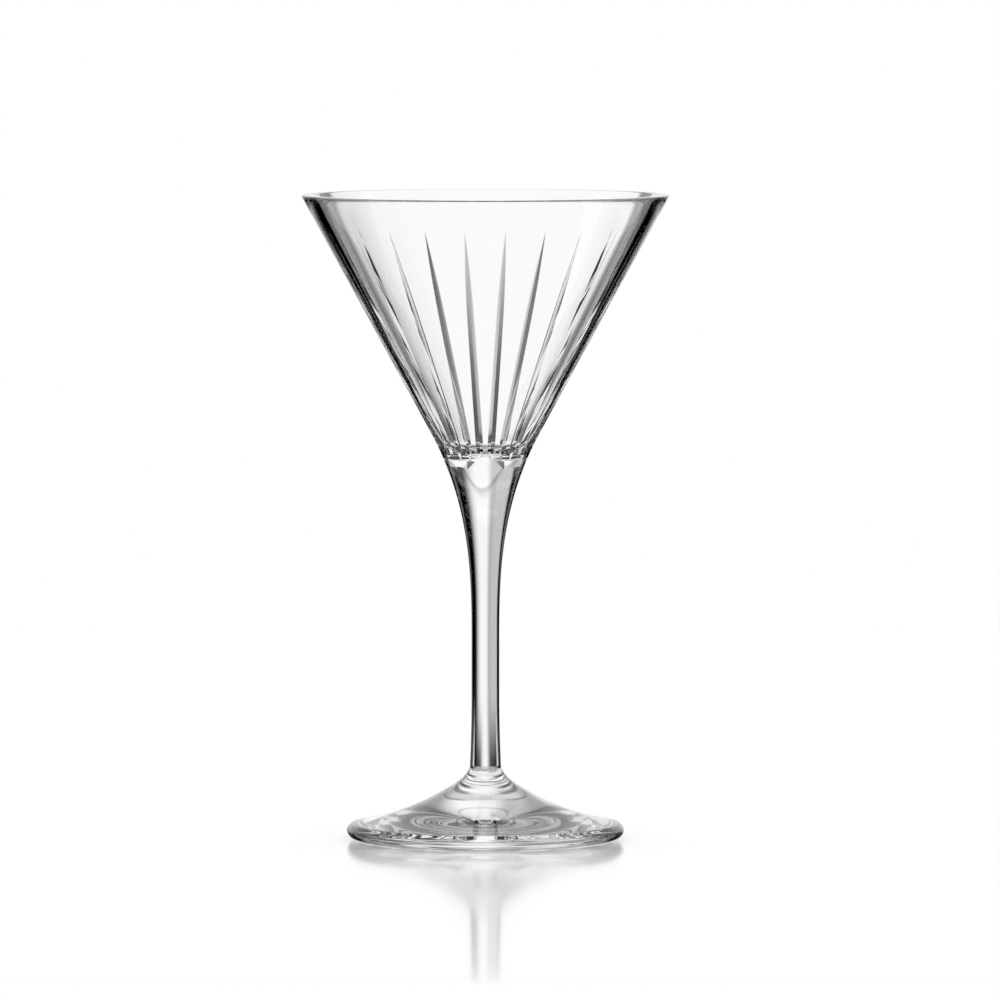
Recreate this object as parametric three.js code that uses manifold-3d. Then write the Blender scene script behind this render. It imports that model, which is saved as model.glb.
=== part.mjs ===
// Fluted martini glass: a conical bowl, a drawn stem and a round foot, hot-fused end to end.
// Millimetres, +Z up. The origin is the middle of the resting plane, and every piece is on the Z axis.

import * as THREE from "three";
import { mergeVertices } from "three/addons/utils/BufferGeometryUtils.js";
import Module from "manifold-3d";

// Whole glass
const HEIGHT = 185;
const FUSED_GAP = 0.3; // stands for the hot-fused joint between two pieces

// Bowl
const CONE_SLOPE = 0.5456; // radius gained per millimetre of height
const CONE_RIM_RADIUS = 52.8; // where the straight outer wall would meet the rim plane
const WALL = 3.0; // measured square to the wall
const RIM_ROUND = 0.45;
const BOWL_JOINT_HEIGHT = 107.5;
const HOLLOW_FLOOR_HEIGHT = 111;
const HOLLOW_FLOOR_ROUND = 9; // between the hollow's cone and its floor
const BOWL_SIDES = 78;

// Flutes cut into the outside of the bowl
const FLUTE_COUNT = 26;
const FLUTE_TIP_HEIGHT = 176.4;
const FLUTE_END_HEIGHT = 109.2;
const FLUTE_DEPTH = 0.75;
const FLUTE_HALF_ANGLE = THREE.MathUtils.degToRad(54.5);
const FLUTE_RUN_IN = 0.4; // share of the length over which the flute deepens below its tip
const FLUTE_RUN_OUT = 0.06; // share over which it closes to a point above the stem
const FLUTE_DEEPENING = [0.86, 1.03]; // share of the full depth just below the tip and at the end
const FLUTE_STATIONS = 12;
const CUTTER_REACH = 3 * FLUTE_DEPTH; // how far the cutting bar stands out of the flute

// Stem
const FLARE_TOP_HEIGHT = 117; // where the flare runs into the straight wall
const FLARE_FOOT_HEIGHT = 57;
const WAIST_RADIUS = 4.0;
const ANKLE_TOP_HEIGHT = 42; // the stem thickens a little below this
const ANKLE_RADIUS = 4.5;
const STEM_FOOT_HEIGHT = 20.8;
const FLARE_START_HEIGHT = FLARE_FOOT_HEIGHT + 4; // the flare is too slight to draw below this
const STEM_SIDES = 48;

// Foot
const FOOT_LIP = [38.5, 4.8]; // radius and height of the corner where the top meets the edge
const FOOT_WIDEST = [39.75, 3.1];
const FOOT_SLOPE = [[28, 7.3], [18, 11.1], [9.5, 15.8], [6.2, 18.4]]; // up the top, lip to boss
const FOOT_BOSS_RADIUS = 4.6; // at its top, just outside the ankle
const FOOT_UNDERCUT = [38.9, 1.1]; // where the edge curls in towards the resting ring
const REST_OUTER_RADIUS = 36.3;
const REST_INNER_RADIUS = 34.6;
const UNDERSIDE_RISE = 2.6;
const FOOT_SIDES = 64;

const WELD_DISTANCE = 1e-4; // corners closer than this are one corner
const tilt = Math.atan(CONE_SLOPE); // the wall's lean from upright
const quarter = Math.PI / 2;

function between(start, end, steps) {
  return Array.from({ length: steps + 1 }, (_, i) => start + ((end - start) * i) / steps);
}

function arc(middle, radius, from, to, steps) {
  return between(from, to, steps).map((angle) => [
    middle[0] + radius * Math.cos(angle),
    middle[1] + radius * Math.sin(angle),
  ]);
}

function smoothThrough(pairs, steps) {
  const curve = new THREE.SplineCurve(pairs.map((pair) => new THREE.Vector2(...pair)));
  return curve.getPoints(steps).map((point) => [point.x, point.y]);
}

// Turns an outline of [radius, height] pairs, which starts and ends on the axis, round the Z axis.
function turned(outline, sides) {
  const points = outline.map((pair) => new THREE.Vector2(...pair));
  return new THREE.LatheGeometry(points, sides).rotateX(quarter);
}

// Radius of the straight outer wall.
function coneRadius(height) {
  return CONE_RIM_RADIUS - CONE_SLOPE * (HEIGHT - height);
}

// The flare grows as a power of the height, chosen so that it meets the cone at the cone's own slope.
function flareRadius(height) {
  const reach = FLARE_TOP_HEIGHT - FLARE_FOOT_HEIGHT;
  const growth = coneRadius(FLARE_TOP_HEIGHT) - WAIST_RADIUS;
  const power = (CONE_SLOPE * reach) / growth;
  const share = Math.max(0, (height - FLARE_FOOT_HEIGHT) / reach);
  return WAIST_RADIUS + growth * share ** power;
}

function outerRadius(height) {
  return height < FLARE_TOP_HEIGHT ? flareRadius(height) : coneRadius(height);
}

// Up the outer wall, over the rounded rim and down the hollow to its floor.
function bowlOutline() {
  const levelWall = WALL / Math.cos(tilt);
  const flare = between(BOWL_JOINT_HEIGHT, FLARE_TOP_HEIGHT, 4).map((z) => [flareRadius(z), z]);
  const rimHeight = HEIGHT - RIM_ROUND;
  const setBack = RIM_ROUND / Math.cos(tilt);
  const outerRound = [coneRadius(rimHeight) - setBack, rimHeight];
  const innerRound = [coneRadius(rimHeight) - levelWall + setBack, rimHeight];
  const floorHeight = HOLLOW_FLOOR_HEIGHT + HOLLOW_FLOOR_ROUND;
  const floorRound = [
    coneRadius(floorHeight) - levelWall - HOLLOW_FLOOR_ROUND / Math.cos(tilt),
    floorHeight,
  ];
  return [
    [0, BOWL_JOINT_HEIGHT],
    ...flare,
    ...arc(outerRound, RIM_ROUND, -tilt, quarter, 3),
    ...arc(innerRound, RIM_ROUND, quarter, Math.PI - tilt, 3),
    ...arc(floorRound, HOLLOW_FLOOR_ROUND, -tilt, -quarter, 5),
    [0, HOLLOW_FLOOR_HEIGHT],
  ];
}

// How deep a flute is at a share of its length from the tip.
function fluteDepth(share) {
  const runIn = 1 - (1 - Math.min(1, share / FLUTE_RUN_IN)) ** 2;
  const runOut = Math.min(1, (1 - share) / FLUTE_RUN_OUT);
  const deepening = THREE.MathUtils.lerp(...FLUTE_DEEPENING, share);
  return FLUTE_DEPTH * deepening * runIn * runOut;
}

// The bottom line of a flute, in the XZ plane.
class FluteRoot extends THREE.Curve {
  getPoint(share, target = new THREE.Vector3()) {
    const height = FLUTE_TIP_HEIGHT + (FLUTE_END_HEIGHT - FLUTE_TIP_HEIGHT) * share;
    const depth = fluteDepth(share);
    return target.set(
      outerRadius(height) - depth * Math.cos(tilt),
      0,
      height + depth * Math.sin(tilt),
    );
  }
}

// A V-edged bar along the flute's bottom line, opening outwards past the wall.
function fluteCutter() {
  const halfWidth = CUTTER_REACH * Math.tan(FLUTE_HALF_ANGLE);
  const edge = new THREE.Shape([
    new THREE.Vector2(0, 0),
    new THREE.Vector2(halfWidth, -CUTTER_REACH),
    new THREE.Vector2(-halfWidth, -CUTTER_REACH),
  ]);
  return new THREE.ExtrudeGeometry(edge, { steps: FLUTE_STATIONS, extrudePath: new FluteRoot() });
}

const wasm = await Module();
wasm.setup();

function solidOf(geometry) {
  const bare = geometry.clone();
  bare.deleteAttribute("normal");
  bare.deleteAttribute("uv");
  const merged = mergeVertices(bare, WELD_DISTANCE);
  const vertProperties = merged.attributes.position.array;
  const triVerts = new Uint32Array(merged.index.array);
  return new wasm.Manifold(new wasm.Mesh({ numProp: 3, vertProperties, triVerts }));
}

function geometryOf(solid) {
  const mesh = solid.getMesh();
  const geometry = new THREE.BufferGeometry();
  geometry.setAttribute("position", new THREE.BufferAttribute(mesh.vertProperties, 3));
  geometry.setIndex(new THREE.BufferAttribute(mesh.triVerts, 1));
  geometry.computeVertexNormals();
  return geometry;
}

// Half a pitch off the -Y side, so that a plain panel faces front.
function flutedBowl() {
  const pitch = (2 * Math.PI) / FLUTE_COUNT;
  let bowl = solidOf(turned(bowlOutline(), BOWL_SIDES));
  for (let i = 0; i < FLUTE_COUNT; i += 1) {
    const cutter = fluteCutter().rotateZ(-quarter + (i + 0.5) * pitch);
    bowl = bowl.subtract(solidOf(cutter));
  }
  return geometryOf(bowl);
}

// Solid rod from the foot's boss to the underside of the bowl.
function stem() {
  const bottom = STEM_FOOT_HEIGHT + FUSED_GAP / 2;
  const top = BOWL_JOINT_HEIGHT - FUSED_GAP;
  const ankle = (z) => {
    const share = (ANKLE_TOP_HEIGHT - z) / (ANKLE_TOP_HEIGHT - STEM_FOOT_HEIGHT);
    return [WAIST_RADIUS + (ANKLE_RADIUS - WAIST_RADIUS) * share ** 2, z];
  };
  const lower = between(bottom, ANKLE_TOP_HEIGHT, 3).map(ankle);
  const upper = between(FLARE_START_HEIGHT, top, 10).map((z) => [flareRadius(z), z]);
  return turned([[0, bottom], ...lower, ...upper, [0, top]], STEM_SIDES);
}

// Disc with a rounded edge, a boss drawn up to the stem and a hollowed underside.
function foot() {
  const top = STEM_FOOT_HEIGHT - FUSED_GAP / 2;
  const upper = smoothThrough([FOOT_LIP, ...FOOT_SLOPE, [FOOT_BOSS_RADIUS, top]], 12);
  const edge = smoothThrough([[REST_OUTER_RADIUS, 0], FOOT_UNDERCUT, FOOT_WIDEST, FOOT_LIP], 7);
  const underside = between(0, REST_INNER_RADIUS, 4).map((radius) => [
    radius,
    UNDERSIDE_RISE * (1 - (radius / REST_INNER_RADIUS) ** 2),
  ]);
  return turned([...underside, ...edge, ...upper.slice(1), [0, top]], FOOT_SIDES);
}

function glass() {
  return new THREE.MeshStandardMaterial({
    color: 0xf4f7f7,
    roughness: 0.03,
    metalness: 0,
    transparent: true,
    opacity: 0.35,
  });
}

function piece(name, geometry) {
  const mesh = new THREE.Mesh(geometry, glass());
  mesh.name = name;
  return mesh;
}

const martiniGlass = new THREE.Group();
martiniGlass.add(piece("bowl", flutedBowl()), piece("stem", stem()), piece("foot", foot()));

export default martiniGlass;
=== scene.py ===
"""A martini glass of clear glass with a fluted bowl, standing on a glossy white table."""

import math

import bmesh
import bpy
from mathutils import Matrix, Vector


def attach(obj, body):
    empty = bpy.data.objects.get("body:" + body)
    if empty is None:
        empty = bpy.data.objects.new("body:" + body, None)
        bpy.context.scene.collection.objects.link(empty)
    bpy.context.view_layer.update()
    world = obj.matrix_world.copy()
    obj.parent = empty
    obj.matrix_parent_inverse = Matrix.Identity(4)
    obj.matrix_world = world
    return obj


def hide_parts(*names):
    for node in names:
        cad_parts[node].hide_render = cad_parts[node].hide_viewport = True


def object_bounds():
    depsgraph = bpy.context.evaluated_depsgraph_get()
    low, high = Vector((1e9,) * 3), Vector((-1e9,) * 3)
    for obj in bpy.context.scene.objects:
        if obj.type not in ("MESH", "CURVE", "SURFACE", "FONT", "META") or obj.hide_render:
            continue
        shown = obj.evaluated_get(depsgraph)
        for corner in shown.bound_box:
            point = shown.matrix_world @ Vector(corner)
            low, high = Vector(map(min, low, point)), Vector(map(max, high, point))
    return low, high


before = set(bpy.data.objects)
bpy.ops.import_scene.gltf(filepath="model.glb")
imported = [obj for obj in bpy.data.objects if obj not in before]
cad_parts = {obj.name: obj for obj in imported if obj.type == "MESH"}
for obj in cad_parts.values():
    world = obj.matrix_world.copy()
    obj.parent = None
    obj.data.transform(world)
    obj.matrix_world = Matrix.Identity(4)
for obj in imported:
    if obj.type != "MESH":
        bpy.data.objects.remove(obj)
cad_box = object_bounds()

# ---------------------------------------------------------------------------------------------
# The bowl is clear lead-free crystal, blown thick and smooth, with a fire-polished rim. The
# flutes are then cut into its outside. Its solid base is fused while hot to the top of the stem.
# ---------------------------------------------------------------------------------------------

mm = 0.001
glass_height = cad_box[1][2]
cone_slope = 0.5456
cone_tilt = math.atan(cone_slope)
cone_rim_radius = 52.8 * mm
wall = 3.0 * mm
rim_round = 0.45 * mm
bowl_joint_height = 107.5 * mm
hollow_floor_height = 111.0 * mm
hollow_floor_round = 9.0 * mm
flare_top_height = 117.0 * mm
flare_foot_height = 57.0 * mm
waist_radius = 4.0 * mm
flare_reach = flare_top_height - flare_foot_height
flare_growth = cone_rim_radius - cone_slope * (glass_height - flare_top_height) - waist_radius
flare_power = cone_slope * flare_reach / flare_growth

flute_count = 26
flute_tip_height = 176.4 * mm
flute_end_height = 109.2 * mm
flute_half_width = 1.05 * mm
flute_run_in = 0.4  # share of the length over which a flute deepens below its tip
flute_run_out = 0.06  # share over which it closes to a point above the stem
flute_opening = (0.86, 1.03)  # share of the full size just below the tip and at the end
flute_depth = 0.75 * mm


def outer_radius(height):
    """The straight cone of the bowl, and below it the flare that runs down into the stem."""
    if height > flare_top_height:
        return cone_rim_radius - cone_slope * (glass_height - height)
    share = max(0.0, (height - flare_foot_height) / flare_reach)
    return waist_radius + flare_growth * share**flare_power


def spread(start, end, steps):
    return [start + (end - start) * i / steps for i in range(steps + 1)]


def arc(middle, radius, start, end, steps):
    turns = spread(start, end, steps)
    return [Vector((middle[0] + radius * math.cos(a), middle[1] + radius * math.sin(a))) for a in turns]


def flute_growth(height):
    """How far a flute has opened: nothing at its pointed tip, full over most of its length."""
    share = (flute_tip_height - height) / (flute_tip_height - flute_end_height)
    if not 0.0 < share < 1.0:
        return 0.0
    run_in = 1.0 - (1.0 - min(1.0, share / flute_run_in)) ** 2
    run_out = min(1.0, (1.0 - share) / flute_run_out)
    opening = flute_opening[0] + (flute_opening[1] - flute_opening[0]) * share
    return run_in * run_out * opening


def bowl_outline():
    """The section from the middle of the joint face, up the outside and down into the hollow."""
    level_wall = wall / math.cos(cone_tilt)
    set_back = rim_round / math.cos(cone_tilt)
    rim_height = glass_height - rim_round
    rim_radius = outer_radius(rim_height)
    floor_height = hollow_floor_height + hollow_floor_round
    floor_middle = outer_radius(floor_height) - level_wall - hollow_floor_round / math.cos(cone_tilt)
    closed_below = flute_end_height + 4.5 * mm
    pointed_above = flute_tip_height - 9.0 * mm
    heights = (
        spread(bowl_joint_height, closed_below, 18)
        + spread(closed_below, pointed_above, 30)[1:]
        + spread(pointed_above, flute_tip_height, 20)[1:]
        + spread(flute_tip_height, rim_height, 6)[1:-1]
    )
    outside = [Vector((outer_radius(z), z)) for z in heights]
    joint = [Vector((r, bowl_joint_height)) for r in spread(0.0, outside[0].x, 5)][:-1]
    rim_over = arc((rim_radius - set_back, rim_height), rim_round, -cone_tilt, math.pi / 2, 8)
    rim_in = arc(
        (rim_radius - level_wall + set_back, rim_height),
        rim_round,
        math.pi / 2,
        math.pi - cone_tilt,
        8,
    )
    floor_round = arc((floor_middle, floor_height), hollow_floor_round, -cone_tilt, -math.pi / 2, 24)
    inside = [rim_in[-1].lerp(floor_round[0], i / 12) for i in range(1, 12)]
    floor = [Vector((r, hollow_floor_height)) for r in spread(floor_middle, 0.0, 4)][1:]
    outline = joint + outside + rim_over + rim_in + inside + floor_round + floor
    return outline, len(joint), len(joint) + len(outside)


columns = 20
same = 0.001  # places and grid steps closer than this are taken as one
merge_distance = 0.001 * mm


def cut_bowl():
    """One flute's share of the bowl, laid out from a flat grid and repeated round the axis."""
    outline, wall_start, wall_end = bowl_outline()
    pitch = math.tau / flute_count
    rows = len(outline)
    bm = bmesh.new()
    bmesh.ops.create_grid(bm, x_segments=columns, y_segments=rows - 1, size=1.0)
    layout = {}
    for vert in bm.verts:
        row = round((vert.co.y + 1) / 2 * (rows - 1))
        across = vert.co.x * 2
        layout[vert] = (row, across)
        radius, height = outline[row]
        opening = flute_growth(height) if wall_start <= row < wall_end else 0.0
        edge = opening * flute_half_width / radius if opening else 0.0
        if abs(across) < 1 + same:
            angle = across * edge
            sink = opening * flute_depth * (1 - abs(across))
        else:
            angle = math.copysign(edge + (abs(across) - 1) * (pitch / 2 - edge), across)
            sink = 0.0
        radius -= sink * math.cos(cone_tilt)
        height += sink * math.sin(cone_tilt)
        turn = angle + pitch / 2 - math.pi / 2
        vert.co = (radius * math.cos(turn), radius * math.sin(turn), height)
    for edge in bm.edges:
        (row_a, across_a), (row_b, across_b) = (layout[v] for v in edge.verts)
        in_wall = wall_start <= min(row_a, row_b) and max(row_a, row_b) < wall_end
        cut = flute_growth(outline[row_a].y) + flute_growth(outline[row_b].y) > 0.0
        on_cut_line = min(abs(abs(across_a) - 1), abs(across_a)) < same
        if in_wall and cut and on_cut_line and abs(across_a - across_b) < same:
            edge.smooth = False
        if row_a == row_b == wall_start:
            edge.smooth = False
    for face in bm.faces:
        face.smooth = True
        face_rows = [layout[v][0] for v in face.verts]
        if max(face_rows) <= wall_start:
            face.material_index = 1
        elif min(face_rows) >= wall_start and max(face_rows) < wall_end:
            face.material_index = 2
    bmesh.ops.spin(
        bm,
        geom=bm.verts[:] + bm.edges[:] + bm.faces[:],
        axis=(0, 0, 1),
        cent=(0, 0, 0),
        dvec=(0, 0, 0),
        angle=pitch * (flute_count - 1),
        steps=flute_count - 1,
        use_duplicate=True,
    )
    bmesh.ops.remove_doubles(bm, verts=bm.verts, dist=merge_distance)
    bmesh.ops.dissolve_degenerate(bm, edges=bm.edges, dist=0.1 * merge_distance)
    bmesh.ops.recalc_face_normals(bm, faces=bm.faces)
    mesh = bpy.data.meshes.new("bowl_glass")
    bm.to_mesh(mesh)
    bm.free()
    return mesh


def polish_group():
    """The faint waviness and the wiped, not quite even gloss that hand-polished glass has."""
    tree = bpy.data.node_groups.new("hand_polish", "ShaderNodeTree")
    tree.interface.new_socket("Place", in_out="INPUT", socket_type="NodeSocketVector")
    tree.interface.new_socket("Height", in_out="OUTPUT", socket_type="NodeSocketFloat")
    tree.interface.new_socket("Roughness", in_out="OUTPUT", socket_type="NodeSocketFloat")
    place = tree.nodes.new("NodeGroupInput").outputs["Place"]
    result = tree.nodes.new("NodeGroupOutput")
    waves = tree.nodes.new("ShaderNodeTexNoise")
    waves.inputs["Scale"].default_value = 60.0
    waves.inputs["Detail"].default_value = 1.0
    tree.links.new(place, waves.inputs["Vector"])
    tree.links.new(waves.outputs["Fac"], result.inputs["Height"])
    wiping = tree.nodes.new("ShaderNodeTexNoise")
    wiping.inputs["Scale"].default_value = 25.0
    wiping.inputs["Detail"].default_value = 4.0
    tree.links.new(place, wiping.inputs["Vector"])
    haze = tree.nodes.new("ShaderNodeMapRange")
    haze.inputs["From Min"].default_value = 0.55
    haze.inputs["From Max"].default_value = 0.75
    haze.inputs["To Max"].default_value = 0.012
    tree.links.new(wiping.outputs["Fac"], haze.inputs["Value"])
    tree.links.new(haze.outputs["Result"], result.inputs["Roughness"])
    return tree


polish = polish_group()
glass_ior = 1.52
ripple_height = 0.02 * mm
# Painted shade for the bowl: the glass's colour goes almost black in a band of slants near its outline.
wall_painted_shade = (0.97, (0.57, 0.63), (0.80, 0.74))  # how dark, and the slants where it comes and goes


def node_of(tree, kind, operation, *values):
    """Adds a node, sets its operation and fills its first inputs with numbers or links."""
    node = tree.nodes.new(kind)
    if operation:
        node.operation = operation
    for socket, value in zip(node.inputs, values):
        if isinstance(value, (int, float)):
            socket.default_value = value
        elif value is not None:
            tree.links.new(value, socket)
    return node


def calc(tree, operation, *values):
    return node_of(tree, "ShaderNodeMath", operation, *values).outputs[0]


def fade(tree, value, start, end):
    """Rises smoothly from 0 where the value is start to 1 where it is end."""
    node = node_of(tree, "ShaderNodeMapRange", None, value, start, end, 0.0, 1.0)
    node.interpolation_type = "SMOOTHSTEP"
    return node.outputs[0]


def blend(tree, share, low, high):
    rest = calc(tree, "MULTIPLY", calc(tree, "SUBTRACT", 1.0, share), low)
    return calc(tree, "ADD", rest, calc(tree, "MULTIPLY", share, high))


def clear_glass(name, painted_shade, painted_shade_comes, painted_shade_goes):
    """Clear polished glass. Its colour is darkened between two slants, to match the photo's edges.
    Its colour is darkened between two slants: painted shade for the dark edges.
    """
    material = bpy.data.materials.new(name)
    material.use_nodes = True
    tree = material.node_tree
    shader = tree.nodes["Principled BSDF"]
    shader.inputs["Base Color"].default_value = (1.0, 1.0, 1.0, 1.0)
    shader.inputs["IOR"].default_value = glass_ior
    shader.inputs["Transmission Weight"].default_value = 1.0
    finish = tree.nodes.new("ShaderNodeGroup")
    finish.node_tree = polish
    place = tree.nodes.new("ShaderNodeTexCoord").outputs["Object"]
    tree.links.new(place, finish.inputs["Place"])
    tree.links.new(finish.outputs["Roughness"], shader.inputs["Roughness"])
    inside = tree.nodes.new("ShaderNodeNewGeometry").outputs["Backfacing"]
    slant = tree.nodes.new("ShaderNodeLayerWeight").outputs["Facing"]
    painted_edge_band = calc(tree, "MULTIPLY", fade(tree, slant, *painted_shade_comes), fade(tree, slant, *painted_shade_goes))
    painted_edge_band = calc(tree, "MULTIPLY", painted_edge_band, calc(tree, "SUBTRACT", 1.0, inside))
    # Painted shade: the colour is darkened in the band of slants, on the outer faces only.
    clear = calc(tree, "MULTIPLY_ADD", painted_edge_band, -painted_shade, 1.0)
    tree.links.new(clear, shader.inputs["Base Color"])
    bump = tree.nodes.new("ShaderNodeBump")
    bump.inputs["Distance"].default_value = ripple_height
    tree.links.new(finish.outputs["Height"], bump.inputs["Height"])
    tree.links.new(bump.outputs["Normal"], shader.inputs["Normal"])
    return material, bump, place


def fluted_glass():
    """The cut outside. Light that leaves through the far wall meets it as if it were uncut."""
    material, bump, place = clear_glass("fluted_glass", *wall_painted_shade)
    tree = material.node_tree
    where = node_of(tree, "ShaderNodeSeparateXYZ", None, place).outputs
    level = node_of(tree, "ShaderNodeCombineXYZ", None, where["X"], where["Y"], 0.0).outputs[0]
    out = node_of(tree, "ShaderNodeVectorMath", "NORMALIZE", level).outputs[0]
    up = calc(tree, "DIVIDE", calc(tree, "SUBTRACT", where["Z"], flare_foot_height), flare_reach)
    slope = calc(tree, "POWER", calc(tree, "MINIMUM", up, 1.0), flare_power - 1)
    fall = calc(tree, "MULTIPLY", slope, cone_slope)
    lean = node_of(tree, "ShaderNodeCombineXYZ", None, 0.0, 0.0, fall).outputs[0]
    inward = node_of(tree, "ShaderNodeVectorMath", "SUBTRACT", lean, out).outputs[0]
    uncut = node_of(tree, "ShaderNodeVectorMath", "NORMALIZE", inward).outputs[0]
    geometry = tree.nodes.new("ShaderNodeNewGeometry")
    light = tree.nodes.new("ShaderNodeLightPath")
    through_near_wall = 2.5  # surfaces crossed: two are the near wall, the third starts the far one
    deep = calc(tree, "GREATER_THAN", light.outputs["Transmission Depth"], through_near_wall)
    leaving = calc(tree, "MULTIPLY", deep, geometry.outputs["Backfacing"])
    choose = tree.nodes.new("ShaderNodeMix")
    choose.data_type = "VECTOR"
    tree.links.new(leaving, choose.inputs["Factor"])
    vector_sockets = [s for s in choose.inputs if s.type == "VECTOR" and s.name in ("A", "B")]
    tree.links.new(geometry.outputs["Normal"], vector_sockets[0])
    tree.links.new(uncut, vector_sockets[1])
    result = [s for s in choose.outputs if s.type == "VECTOR"][0]
    tree.links.new(result, bump.inputs["Normal"])
    return material


glass = clear_glass("clear_glass", *wall_painted_shade)[0]
cut_glass = fluted_glass()
fused = clear_glass("fused_joint", *wall_painted_shade)[0]
fused.node_tree.nodes["Principled BSDF"].inputs["Alpha"].default_value = 0.0


def add_piece(name, mesh, node, materials):
    piece = bpy.data.objects.new(name, mesh)
    bpy.context.scene.collection.objects.link(piece)
    for material in materials:
        mesh.materials.append(material)
    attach(piece, "root")
    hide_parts(node)
    return piece


bowl = add_piece("fluted_bowl", cut_bowl(), "bowl", (glass, fused, cut_glass))

# ---------------------------------------------------------------------------------------------
# The stem is drawn from solid glass: thin in the middle, flared above to meet the bowl and a
# little swollen at the ankle, where the foot is fused on.
# ---------------------------------------------------------------------------------------------

stem_foot_height = 20.8 * mm
ankle_top_height = 42.0 * mm
ankle_radius = 4.5 * mm


def stem_radius(height):
    share = max(0.0, (ankle_top_height - height) / (ankle_top_height - stem_foot_height))
    return outer_radius(height) + (ankle_radius - waist_radius) * share**2


def turned(name, outline, steps, joint_heights):
    """Spins an outline round the axis, and marks the faces that are fused to a neighbour."""
    bm = bmesh.new()
    verts = [bm.verts.new((point[0], 0.0, point[1])) for point in outline]
    edges = [bm.edges.new(pair) for pair in zip(verts, verts[1:])]
    bmesh.ops.spin(
        bm,
        geom=verts + edges,
        axis=(0, 0, 1),
        cent=(0, 0, 0),
        dvec=(0, 0, 0),
        angle=math.tau,
        steps=steps,
        use_merge=True,
    )
    bmesh.ops.remove_doubles(bm, verts=bm.verts, dist=merge_distance)
    bmesh.ops.recalc_face_normals(bm, faces=bm.faces)
    for face in bm.faces:
        face.smooth = True
        if any(all(abs(v.co.z - z) < merge_distance for v in face.verts) for z in joint_heights):
            face.material_index = 1
    for edge in bm.edges:
        if len({face.material_index for face in edge.link_faces}) > 1:
            edge.smooth = False
    mesh = bpy.data.meshes.new(name)
    bm.to_mesh(mesh)
    bm.free()
    return mesh


stem_outline = (
    [(r, stem_foot_height) for r in spread(0.0, ankle_radius, 4)][:-1]
    + [(stem_radius(z), z) for z in spread(stem_foot_height, bowl_joint_height, 120)]
    + [(r, bowl_joint_height) for r in spread(outer_radius(bowl_joint_height), 0.0, 4)][1:]
)
stem_mesh = turned("stem_glass", stem_outline, 128, (stem_foot_height, bowl_joint_height))
# The stem's painted shade: its colour darkens almost to black from a middle slant out to its outline,
# and stays dark there.
past_grazing = (1.2, 1.1)  # a slant is never over 1, so this shade never goes
stem_glass = clear_glass("stem_glass", 0.98, (0.34, 0.46), past_grazing)[0]
stem = add_piece("drawn_stem", stem_mesh, "stem", (stem_glass, fused))

# ---------------------------------------------------------------------------------------------
# The foot is pressed from the same glass: a low cone that sweeps up into the ankle, a thick
# rounded edge, and a slightly hollowed underside, so that it rests on a narrow flat ring.
# ---------------------------------------------------------------------------------------------

foot_lip = (38.5 * mm, 4.8 * mm)
foot_widest = (39.75 * mm, 3.1 * mm)
foot_undercut = (38.9 * mm, 1.1 * mm)
rest_outer_radius = 36.3 * mm
rest_inner_radius = 34.6 * mm
underside_rise = 2.6 * mm


def smooth_through(points, steps):
    """A Catmull-Rom curve through the points."""
    points = [Vector(p) for p in points]
    padded = [points[0], *points, points[-1]]
    curve = []
    for i in range(steps + 1):
        t = i / steps * (len(points) - 1)
        k = min(int(t), len(points) - 2)
        t -= k
        a, b, c, d = padded[k : k + 4]
        bend = (2 * a - 5 * b + 4 * c - d) * t**2 + (3 * b - a - 3 * c + d) * t**3
        curve.append(0.5 * (2 * b + (c - a) * t + bend))
    return curve


foot_slope = [(28 * mm, 7.3 * mm), (18 * mm, 11.1 * mm), (9.5 * mm, 15.8 * mm), (6.2 * mm, 18.4 * mm)]
foot_top = smooth_through([foot_lip, *foot_slope, (ankle_radius, stem_foot_height)], 90)
foot_edge = smooth_through([(rest_outer_radius, 0.0), foot_undercut, foot_widest, foot_lip], 30)
underside = [
    Vector((r, underside_rise * (1 - (r / rest_inner_radius) ** 2)))
    for r in spread(0.0, rest_inner_radius, 40)
]
foot_joint = [(r, stem_foot_height) for r in spread(ankle_radius, 0.0, 4)]
foot_outline = underside + foot_edge + foot_top[1:] + foot_joint[1:]
foot_mesh = turned("foot_glass", foot_outline, 192, (stem_foot_height,))
# Painted shade: the foot's colour is darkened in a band of slants, greying its flanks and outline.
foot_glass = clear_glass("foot_glass", 0.8, (0.50, 0.66), (0.84, 0.74))[0]
foot = add_piece("round_foot", foot_mesh, "foot", (foot_glass, fused))

# ---------------------------------------------------------------------------------------------
# The table is a glossy white sheet. It mirrors the glass near its foot and turns matt towards
# the camera. Its far edge melts into the white room.
# ---------------------------------------------------------------------------------------------

table_radius = 1200 * mm
table_drop = 0.05 * mm  # keeps the table's face off the resting ring

bm = bmesh.new()
bmesh.ops.create_circle(bm, cap_ends=True, segments=96, radius=table_radius)
bmesh.ops.translate(bm, verts=bm.verts, vec=(0.0, 0.0, -table_drop))
table_mesh = bpy.data.meshes.new("table")
bm.to_mesh(table_mesh)
bm.free()
table = bpy.data.objects.new("table", table_mesh)
bpy.context.scene.collection.objects.link(table)

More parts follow.
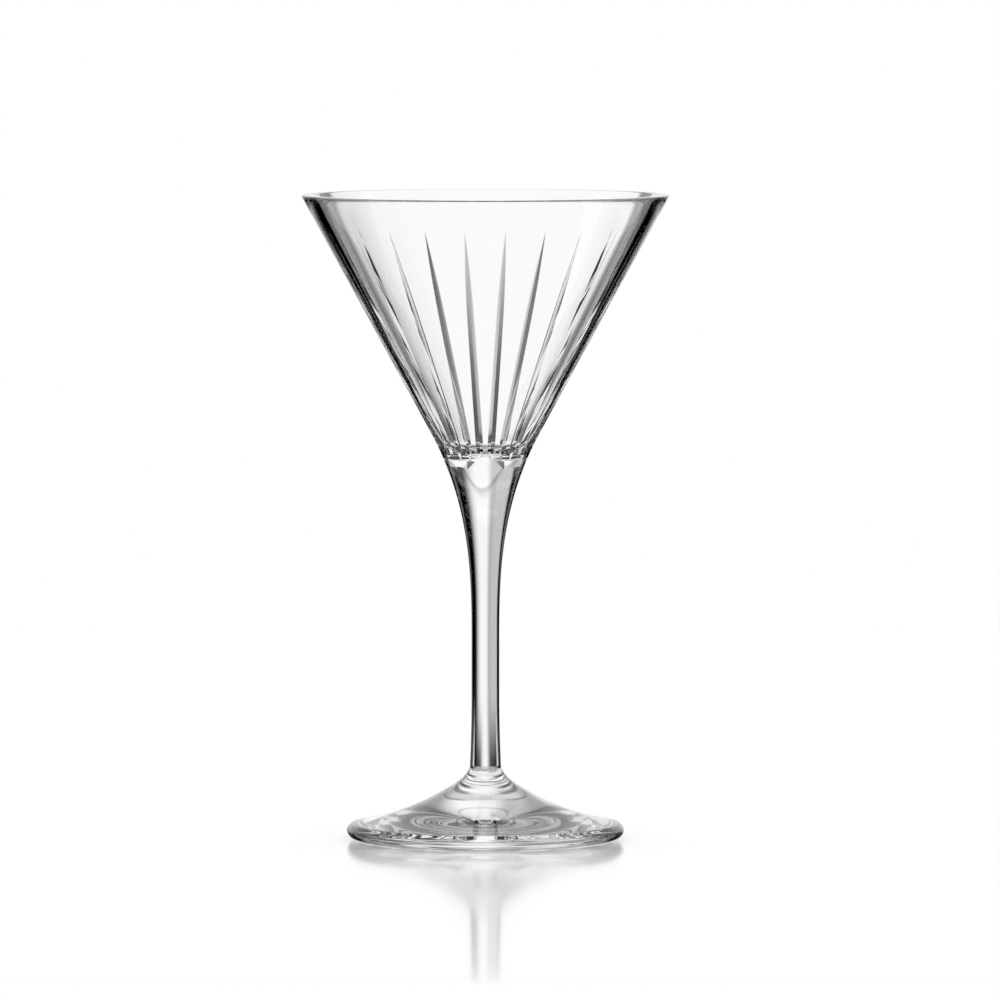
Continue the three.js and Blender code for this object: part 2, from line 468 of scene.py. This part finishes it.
table_top = bpy.data.materials.new("glossy_white")
table_top.use_nodes = True
tree = table_top.node_tree
shader = tree.nodes["Principled BSDF"]
shader.inputs["Base Color"].default_value = (0.98, 0.98, 0.98, 1.0)
shader.inputs["Roughness"].default_value = 0.1
shader.inputs["Emission Color"].default_value = (1.0, 1.0, 1.0, 1.0)
shader.inputs["Emission Strength"].default_value = 0.05
on_table = tree.nodes.new("ShaderNodeTexCoord").outputs["Object"]
depth = node_of(tree, "ShaderNodeSeparateXYZ", None, on_table).outputs["Y"]
reach = node_of(tree, "ShaderNodeVectorMath", "LENGTH", on_table).outputs["Value"]
gloss = calc(tree, "MULTIPLY", fade(tree, depth, -0.37, -0.13), 0.5)
tree.links.new(gloss, shader.inputs["Specular IOR Level"])
light = tree.nodes.new("ShaderNodeLightPath").outputs
direct = calc(tree, "MAXIMUM", light["Is Camera Ray"], light["Is Diffuse Ray"])
cover = blend(tree, direct, fade(tree, reach, 0.04, 0.01), fade(tree, reach, 1.15, 0.6))
tree.links.new(cover, shader.inputs["Alpha"])
table_mesh.materials.append(table_top)

# ---------------------------------------------------------------------------------------------
# The studio is a white room. Soft white screens stand in front of and behind the glass, with
# dark gaps between them that draw its edges. Where they stand and how bright they are was read
# from the photo's tones, by tracing where this glass bends each ray to, and then tuned.
# Both ends of the room are alike. Tones run from 0, black, to 1, white. Angles are in degrees.
# ---------------------------------------------------------------------------------------------

world = bpy.data.worlds.new("studio")
bpy.context.scene.world = world
world.use_nodes = True
tree = world.node_tree


def screen_row(share, stops):
    """How bright the room is all round: angles from straight ahead, and the tone there."""
    node = tree.nodes.new("ShaderNodeValToRGB")
    tree.links.new(share, node.inputs[0])
    while len(node.color_ramp.elements) < len(stops):
        node.color_ramp.elements.new(0.5)
    for element, (degrees, tone) in zip(node.color_ramp.elements, stops):
        element.position = degrees / 180 + 0.5
    for element, (degrees, tone) in zip(node.color_ramp.elements, stops):
        light = tone**2.2
        element.color = (light, light, light, 1.0)
    return node.outputs[0]


toward = node_of(
    tree, "ShaderNodeSeparateXYZ", None, tree.nodes.new("ShaderNodeTexCoord").outputs["Generated"]
).outputs
in_degrees = math.degrees(1.0)
turn = calc(tree, "ARCTAN2", toward["X"], calc(tree, "ABSOLUTE", toward["Y"]))
turn = calc(tree, "MULTIPLY", turn, in_degrees)
share = calc(tree, "MULTIPLY_ADD", turn, 1 / 180, 0.5)
rise = calc(tree, "MULTIPLY", calc(tree, "ARCSINE", toward["Z"]), in_degrees)

level_row = screen_row(
    share,
    [
        (-90, 0.92),
        (-78, 0.92),
        (-74, 0.0),
        (-48, 0.0),
        (-44, 0.80),
        (-38, 0.79),
        (-16, 0.77),
        (-13, 0.72),
        (-9, 0.73),
        (-5, 0.90),
        (-2, 1.0),
        (12, 1.0),
        (18, 0.92),
        (22, 0.80),
        (26, 0.62),
        (30, 0.38),
        (33, 0.15),
        (36, 0.0),
        (74, 0.0),
        (78, 0.92),
        (90, 0.92),
    ],
)
low_row = screen_row(
    share,
    [
        (-90, 0.92),
        (-78, 0.92),
        (-75, 0.0),
        (-59, 0.0),
        (-56, 0.92),
        (-38, 0.92),
        (-36, 0.0),
        (-15, 0.0),
        (-11, 0.42),
        (-7, 0.85),
        (-2, 1.0),
        (2, 1.0),
        (8, 0.88),
        (12, 0.45),
        (16, 0.0),
        (36, 0.0),
        (38, 0.92),
        (56, 0.92),
        (59, 0.0),
        (75, 0.0),
        (78, 0.92),
        (90, 0.92),
    ],
)
# Heights in the room, in degrees above and below the level of the eye.
below = fade(tree, rise, -4.5, -9.0)
under = fade(tree, rise, -24.0, -32.0)
steep = fade(tree, rise, -32.0, -42.0)
above = fade(tree, rise, 34.0, 40.0)
low_light = blend(tree, steep, low_row, 0.85)

# The screen's top edge is an arch with a thin grey seam, and a greyer ceiling shows over it.
arch_middle, arch_height, arch_curve = 3.0, 16.5, 0.018
from_middle = calc(tree, "POWER", calc(tree, "SUBTRACT", turn, arch_middle), 2.0)
over = calc(tree, "SUBTRACT", rise, calc(tree, "MULTIPLY_ADD", from_middle, arch_curve, arch_height))
ceiling = calc(tree, "MULTIPLY", fade(tree, over, 0.0, 1.5), fade(tree, turn, 42.0, 30.0))
seam = calc(tree, "MULTIPLY", fade(tree, over, -3.0, 0.0), fade(tree, over, 1.0, 0.0))
seam_shade = calc(tree, "MULTIPLY_ADD", seam, -0.35, 1.0)
level_light = calc(tree, "MULTIPLY", level_row, seam_shade)
level_light = calc(tree, "MAXIMUM", level_light, calc(tree, "MULTIPLY", ceiling, 0.6))
surround = blend(tree, above, blend(tree, below, level_light, low_light), 1.0)

# Light that mirrors off the glass meets a dark room beside and in front of it. What is seen
# directly, and what lights the table, is plain white.
ahead = fade(tree, toward["Y"], -0.1, 0.1)
beside = fade(tree, calc(tree, "ABSOLUTE", turn), 62.0, 48.0)
over_or_under = calc(tree, "MAXIMUM", fade(tree, rise, 0.5, 3.0), under)
in_mirror = calc(tree, "MAXIMUM", calc(tree, "MULTIPLY", ahead, beside), over_or_under)
after_bounce = calc(tree, "MAXIMUM", ahead, under)
light = tree.nodes.new("ShaderNodeLightPath").outputs
bounced = calc(tree, "MINIMUM", light["Glossy Depth"], 1.0)
kept = blend(tree, light["Is Reflection Ray"], blend(tree, bounced, 1.0, after_bounce), in_mirror)
seen = calc(tree, "MULTIPLY", surround, kept)
seen = blend(tree, calc(tree, "MULTIPLY", light["Is Reflection Ray"], over_or_under), seen, 1.0)
direct = calc(tree, "MAXIMUM", light["Is Camera Ray"], light["Is Diffuse Ray"])
tree.links.new(blend(tree, direct, seen, 1.0), tree.nodes["Background"].inputs["Color"])

# ---------------------------------------------------------------------------------------------
# The camera stands well back with a long lens, a little above the rim, and looks slightly down.
# ---------------------------------------------------------------------------------------------

camera_back = 2850 * mm
look_down = math.radians(3.68)
aim = Vector((4.16 * mm, 0.0, 97.6 * mm))

camera_data = bpy.data.cameras.new("camera")
camera_data.sensor_width = 36.0
camera_data.lens = 359.3
camera_data.clip_end = 50.0
camera = bpy.data.objects.new("camera", camera_data)
camera.location = aim + Vector((0.0, -camera_back, camera_back * math.tan(look_down)))
camera.rotation_euler = (math.pi / 2 - look_down, 0.0, 0.0)
bpy.context.scene.collection.objects.link(camera)
scene = bpy.context.scene
scene.camera = camera
scene.view_settings.view_transform = "Standard"
scene.cycles.max_bounces = 24
scene.cycles.transmission_bounces = 24
scene.cycles.glossy_bounces = 12
scene.cycles.transparent_max_bounces = 16
